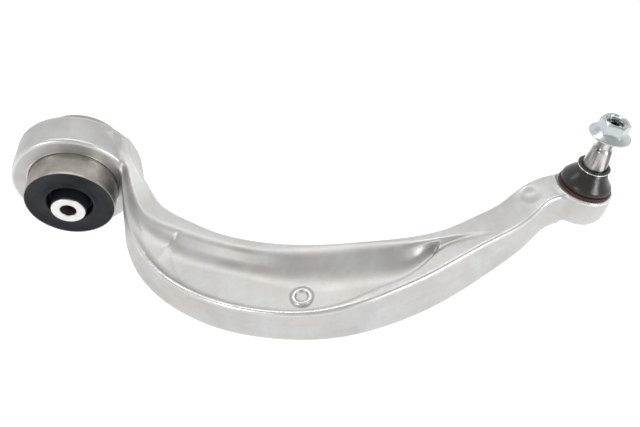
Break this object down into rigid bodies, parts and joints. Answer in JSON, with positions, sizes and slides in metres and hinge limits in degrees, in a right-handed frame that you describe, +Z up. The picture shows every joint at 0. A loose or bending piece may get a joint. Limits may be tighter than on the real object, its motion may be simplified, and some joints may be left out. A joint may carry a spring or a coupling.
{
  "type": "control arm",
  "caption": "Curved forged suspension control arm with a hydraulic rubber bush at one end and a booted ball joint with flange nut at the other.",
  "frame": {"origin": "middle of the bush, on its bolt axis, halfway between the inner sleeve's end faces", "axes": "+Y along the bush's bolt axis, away from the side seen in the picture; +X at a right angle to it, towards the ball joint; +Z up, on the side the stud points to"},
  "size_m": [0.4666, 0.2038, 0.1182],
  "materials": {
    "forged_aluminium": "satin as-forged aluminium, warm light grey",
    "can_steel": "drawn steel, brownish grey",
    "sleeve_steel": "machined end faces",
    "bush_rubber": "matte blue-black natural rubber",
    "channel_plastic": "glass-filled nylon",
    "stud_steel": "turned steel",
    "shell_plastic": "acetal",
    "boot_rubber": "semi-gloss black rubber",
    "band_rubber": "dark red-brown rubber",
    "collar_plastic": "black, satin",
    "ring_wire": "bright spring wire",
    "nut_zinc": "white zinc"
  },
  "bodies": {
    "inner_sleeve": {"bush_inner_sleeve": "sleeve_steel", "bush_travel_stop_upper": "bush_rubber", "bush_travel_stop_lower": "bush_rubber"},
    "arm": {"arm_forging": "forged_aluminium", "bush_outer_can": "can_steel", "bush_window_cage": "can_steel", "bush_rubber_spring": "bush_rubber", "bush_channel_half_upper": "channel_plastic", "bush_channel_half_lower": "channel_plastic", "socket_pressure_ring": "shell_plastic", "socket_cover_plate": "can_steel", "boot_lower_ring": "band_rubber"},
    "swivel": {"bearing_shell": "shell_plastic", "dust_boot": "boot_rubber"},
    "collar": {"boot_collar": "collar_plastic", "boot_upper_ring": "ring_wire"},
    "stud": {"ball_stud": "stud_steel"},
    "nut": {"flange_nut": "nut_zinc"}
  },
  "joints": [
    {"name": "bush_twist", "type": "hinge", "parent": "inner_sleeve", "child": "arm", "pos_m": [0, 0, 0], "axis": [0, 1, 0], "range_deg": [-15, 15], "stiffness_Nm_per_rad": 100},
    {"name": "ball_azimuth", "type": "hinge", "parent": "arm", "child": "swivel", "pos_m": [0.3906, -0.0665, 0.0024], "axis": [0.2314, 0.1323, 0.9638], "continuous": true},
    {"name": "ball_tilt", "type": "hinge", "parent": "swivel", "child": "collar", "pos_m": [0.3906, -0.0665, 0.0024], "axis": [0.9724, 0, -0.2334], "range_deg": [-22, 22], "deforming": ["dust_boot"]},
    {"name": "stud_spin", "type": "hinge", "parent": "collar", "child": "stud", "pos_m": [0.3906, -0.0665, 0.0024], "axis": [0.2314, 0.1323, 0.9638], "continuous": true},
    {"name": "nut_travel", "type": "slide", "parent": "stud", "child": "nut", "axis": [0.2314, 0.1323, 0.9638], "range_m": [-0.0015, 0.03]}
  ]
}
